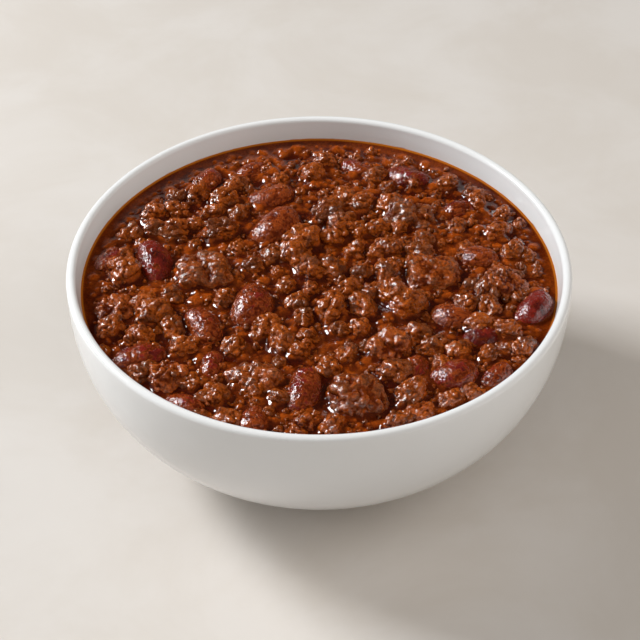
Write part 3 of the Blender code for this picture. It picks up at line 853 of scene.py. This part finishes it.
def sauceMaterial():
    # the sauce itself, darker in its hollows, partly as deeper sauce and partly as painted shade, with a
    # line of orange oil at the wall
    v = chiliValues
    material, tree, shader, place = wetFood("chiliSauce", 1.6, 0.08, 0.1, (1.0, 0.3, 0.12))
    hollow = attributeValue(tree, "hollow")
    film = useGroup(tree, sauceFilm, Under=v["under"], Coverage=0.85, Hollow=hollow, Patch_Scale=200.0,
                    Thin=v["thin"], Thick=v["thick"], Dry_Roughness=0.32, Wet_Roughness=0.18)
    edge = attributeValue(tree, "edge")
    color = mixColor(tree, mapped(tree, edge, 0.85, 0.95), film["Color"], v["oil"])
    fine = noiseTexture(tree, place, 700.0, 4.0, 0.6, 0.5)
    height = mathNode(tree, "ADD", fine, mathNode(tree, "MULTIPLY", film["Height"], 0.6))
    setInputs(tree, shader, Base_Color=color, Roughness=film["Roughness"],
              Coat_Weight=mapped(tree, edge, 0.15, 0.6, 0.9, 0.15),
              Normal=bumpNode(tree, height, 0.2 * mm, 0.6))
    return material


# Making everything

bowl = finishPiece(buildBowl(), glazeMaterial(chiliValues["level"]), "bowl_glaze", "bowl")
print("bowl turned:", len(bowl.data.polygons), "faces")

sunk = []
for index, name in enumerate(beanNodes, start=1):
    cover = beanValues["coverage"].get(index, beanValues["usualCoverage"])
    skin = beanMaterial("beanSkin_%02d" % index, cover, (index * 0.37) % 1.0)
    sunk.append(finishPiece(buildBean(name, index), skin, "bean_skin", name))
for index, name in enumerate(beefNodes, start=1):
    cover = beefValues["coverage"].get(index, beefValues["usualCoverage"])
    meat = beefMaterial("beefMeat_%02d" % index, cover, index * 0.9)
    sunk.append(finishPiece(buildBeef(name, index), meat, "beef_meat", name))
print("beans and beef laid in:", len(sunk))

random = np.random.default_rng(chiliValues["seed"])
relief = chiliTop()
reachMap = np.hypot(mapX, mapY)
headingMap = np.degrees(np.arctan2(mapY, mapX)) - chiliValues["calmHeading"]
calmSide = np.clip(np.cos(np.radians(headingMap)) * 1.6 - 0.4, 0.0, 1.0)
rimFade = np.clip((76.0 * mm - calmSide * 3.5 * mm - reachMap) / (4.0 * mm), 0.0, 1.0)
flatSpots = np.stack([mapX, mapY, mapX * 0], axis=-1)
waves = layeredNoise(flatSpots, 9.0 * mm, 31, 3) * chiliValues["waves"]
base = chiliValues["level"] + 0.2 * (relief - chiliValues["level"]) + (waves - 0.4 * mm) * rimFade
minced = minceMaterial()


def addMince(name, lumps, values, ground):
    # sets lumps down on a height map as one joined piece
    bottom = readMap(ground, lumps[:, 0], lumps[:, 1])
    piece = buildMince(name, lumps, bottom, values, random)
    return finishPiece(piece, minced, "chili_sauce")


beanTop = piecesTop(sunk[:len(beanNodes)])
sunk.append(addMince("minceLarge", placedLumps(largeLumps), minceValues["large"], base))
sunk.append(addMince("minceSmall", placedLumps(smallLumps), minceValues["small"], base))
pieceTop = piecesTop(sunk)
free = np.where(beanTop > base, 0.03, np.where(pieceTop > base, 0.2, 1.0))
ground = np.clip(pieceTop - 0.5 * mm, base, 66.0 * mm)  # crumbs also cling to the lumps
crumbs = scatteredLumps(minceValues["crumbs"], rimFade * free, random)
sunk.append(addMince("minceCrumbs", crumbs, minceValues["crumbs"], ground))
pieceTop = piecesTop(sunk)
free = np.where(beanTop > base, 0.03, np.where(pieceTop > base, 0.12, 1.0))
ground = np.clip(pieceTop - 0.4 * mm, base, 67.0 * mm)
bits = scatteredLumps(minceValues["bits"], rimFade * free, random)
addMince("minceBits", bits, minceValues["bits"], ground)
free = np.where(pieceTop > base, 0.1, 1.0)
lumpCount = len(largeLumps) + len(smallLumps)
print("mince laid in:", lumpCount, "lumps,", len(crumbs), "crumbs,", len(bits), "bits")

wallHere = float(wallRadius(chiliValues["level"]))
nearWall = np.clip((wallHere - 2.5 * mm - reachMap) / (2.5 * mm), 0.0, 1.0)
height = base + layeredNoise(flatSpots, 2.8 * mm, 37, 2) * chiliValues["ripples"] * nearWall
room = nearWall * np.maximum(free, 0.25)
drowned = scatter(chiliValues["drowned"], 75 * mm, (1.5 * mm, 3.2 * mm), 0.7, room, random)
sinkBalls(height, base, drowned, (0.6, 0.92), 1.1 * mm, random)
grains = scatter(chiliValues["grains"], 76 * mm, (0.4 * mm, 1.0 * mm), 0.5, nearWall * free, random)
sinkBalls(height, height, grains, (0.1, 0.6), 0.25 * mm, random)
# a fillet of sauce where it meets a piece: the blurred tops, a little lower
covered = np.maximum(np.where(pieceTop > 0, pieceTop - 0.5 * mm, 0.0), height)
height = smoothMax(height, blur(covered, 0.7 * mm, mapStep) - 0.1 * mm, 0.5 * mm)
wallGap = np.maximum(wallHere - reachMap, 0.0)
height += 0.75 * mm * np.exp(-wallGap / (0.9 * mm))  # the sauce creeps up the wall
# hollowMap is high where the sauce lies below its surroundings; the material darkens it there, partly as
# deeper sauce and partly as painted shade
hollowMap = np.clip(0.5 - (height - blur(height, 1.6 * mm, mapStep)) / (0.9 * mm), 0.0, 1.0)
edgeMap = np.exp(-wallGap / (5.0 * mm))


def buildChili():
    # a square grid pressed into a disc, x = a sqrt(1 - b b / 2) and y = b sqrt(1 - a a / 2), lifted to the
    # height map, then carried down the bowl's inner curve to a flat bottom
    v = chiliValues
    cells = v["cells"]
    a, b = np.meshgrid(*[np.linspace(-1.0, 1.0, cells + 1)] * 2, indexing="ij")
    radius = wallHere + v["intoWall"]
    x, y = a * np.sqrt(1 - b * b / 2) * radius, b * np.sqrt(1 - a * a / 2) * radius
    top = np.stack([x, y, readMap(height, x, y)], axis=-1)
    number = np.arange((cells + 1) ** 2).reshape(cells + 1, cells + 1)
    quads = np.stack([number[:-1, :-1], number[1:, :-1], number[1:, 1:], number[:-1, 1:]], axis=-1)
    edge = np.concatenate([number[:-1, 0], number[-1, :-1], number[:0:-1, -1], number[0, :0:-1]])
    rim = top.reshape(-1, 3)[edge]
    down = innerCurve(200)
    down = down[down[:, 1] < v["level"] - 2 * mm]
    down = down[np.linspace(0, len(down) - 1, v["rings"]).astype(int)]
    turn = np.arctan2(rim[:, 1], rim[:, 0])
    skirt = np.stack([(down[:, :1] + 0.3 * mm) * np.cos(turn), (down[:, :1] + 0.3 * mm) * np.sin(turn),
                      np.repeat(down[:, 1:] - 0.3 * mm, len(turn), axis=1)], axis=-1)
    count = len(top.reshape(-1, 3))
    rows = np.concatenate([edge[None], count + np.arange(skirt.shape[0] * len(edge)).reshape(-1, len(edge))])
    after = np.roll(rows, -1, axis=1)
    sides = np.stack([rows[:-1], rows[1:], after[1:], after[:-1]], axis=-1).reshape(-1, 4)
    middle = count + skirt.shape[0] * len(edge)
    floor = np.stack([np.full(len(edge), middle), after[-1], rows[-1]], axis=-1)
    points = np.concatenate([top.reshape(-1, 3), skirt.reshape(-1, 3), [[0, 0, skirt[-1, 0, 2]]]])
    extra = len(points) - count
    values = {"hollow": np.append(readMap(hollowMap, x, y).ravel(), np.full(extra, 0.5)),
              "edge": np.append(readMap(edgeMap, x, y).ravel(), np.zeros(extra))}
    return makeMesh("chiliSauceBody", points, np.concatenate([quads.reshape(-1, 4), sides]), floor, values)


chili = finishPiece(buildChili(), sauceMaterial(), "chili_sauce", "chili")
print("chili poured:", len(chili.data.polygons), "faces")


# Floor, light and camera

studioValues = {
    "floor": (0.655, 0.612, 0.572, 1), "floorDeep": (0.615, 0.565, 0.515, 1), "floorSide": 5.0,
    "air": 0.03, "airColor": (1.0, 0.97, 0.93, 1),
    # azimuth and elevation in degrees, distance and size in metres, power in watts, colour, and whether
    # glossy surfaces mirror it
    "lights": {
        "key": (156, 37, 1.6, 0.5, 29.3, (0.96, 0.985, 1.0), True),
        "left": (190, 20, 1.2, 0.5, 1.5, (0.96, 0.985, 1.0), True),
        "right": (0, 27, 1.3, 1.2, 8.0, (1.0, 0.96, 0.91), False),
        "front": (-50, 42, 1.3, 1.2, 1.6, (1.0, 0.96, 0.91), False),
        "top": (-90, 58, 1.3, 1.2, 5.8, (1.0, 0.98, 0.95), False),
    },
    "lens": 101.25, "sensor": 36.0, "cameraPlace": (0.00026, -0.45358, 0.44540), "cameraTilt": 48.483,
}


def areaLight(name, azimuth, elevation, distance, size, power, color, mirrored):
    # a square lamp that faces the bowl from a direction
    data = bpy.data.lights.new(name, "AREA")
    data.shape = "SQUARE"
    data.size = size
    data.energy = power
    data.color = color
    turn, rise = math.radians(azimuth), math.radians(elevation)
    toward = Vector((math.cos(turn) * math.cos(rise), math.sin(turn) * math.cos(rise), math.sin(rise)))
    light = bpy.data.objects.new(name, data)
    light.location = toward * distance + Vector((0, 0, 0.04))
    light.rotation_euler = toward.to_track_quat("Z", "Y").to_euler()
    light.visible_glossy = mirrored
    bpy.context.scene.collection.objects.link(light)


def buildStudio():
    # a flat square floor with faint clouds, the lamps, and a little light from all round
    v = studioValues
    half = v["floorSide"] / 2
    corners = np.array([[-half, -half, 0], [half, -half, 0], [half, half, 0], [-half, half, 0]])
    floor = makeMesh("studioFloor", corners, np.array([[0, 1, 2, 3]]), np.empty((0, 3), int))
    material, tree, shader = principled("paleFloor", Roughness=0.6)
    place = tree.nodes.new("ShaderNodeTexCoord").outputs["Object"]
    cloud = noiseTexture(tree, place, 14.0, 5.0, 0.6, 0.4)
    shade = mixColor(tree, mapped(tree, cloud, 0.35, 0.65), v["floor"], v["floorDeep"])
    setInputs(tree, shader, Base_Color=shade)
    floor.data.materials.append(material)
    for name, numbers in v["lights"].items():
        areaLight(name + "Light", *numbers)
    world = bpy.data.worlds.new("studioAir")
    bpy.context.scene.world = world
    world.use_nodes = True
    setInputs(world.node_tree, world.node_tree.nodes["Background"], Strength=v["air"], Color=v["airColor"])


def buildCamera():
    # looks down at the bowl from the front
    v = studioValues
    data = bpy.data.cameras.new("camera")
    data.lens, data.sensor_width = v["lens"], v["sensor"]
    data.clip_start, data.clip_end = 0.01, 20.0
    camera = bpy.data.objects.new("camera", data)
    camera.location = v["cameraPlace"]
    camera.rotation_euler = Euler((math.radians(v["cameraTilt"]), 0.0, 0.0))
    bpy.context.scene.collection.objects.link(camera)
    bpy.context.scene.camera = camera


buildStudio()
buildCamera()
bpy.context.scene.view_settings.view_transform = "Standard"
print("studio lit")
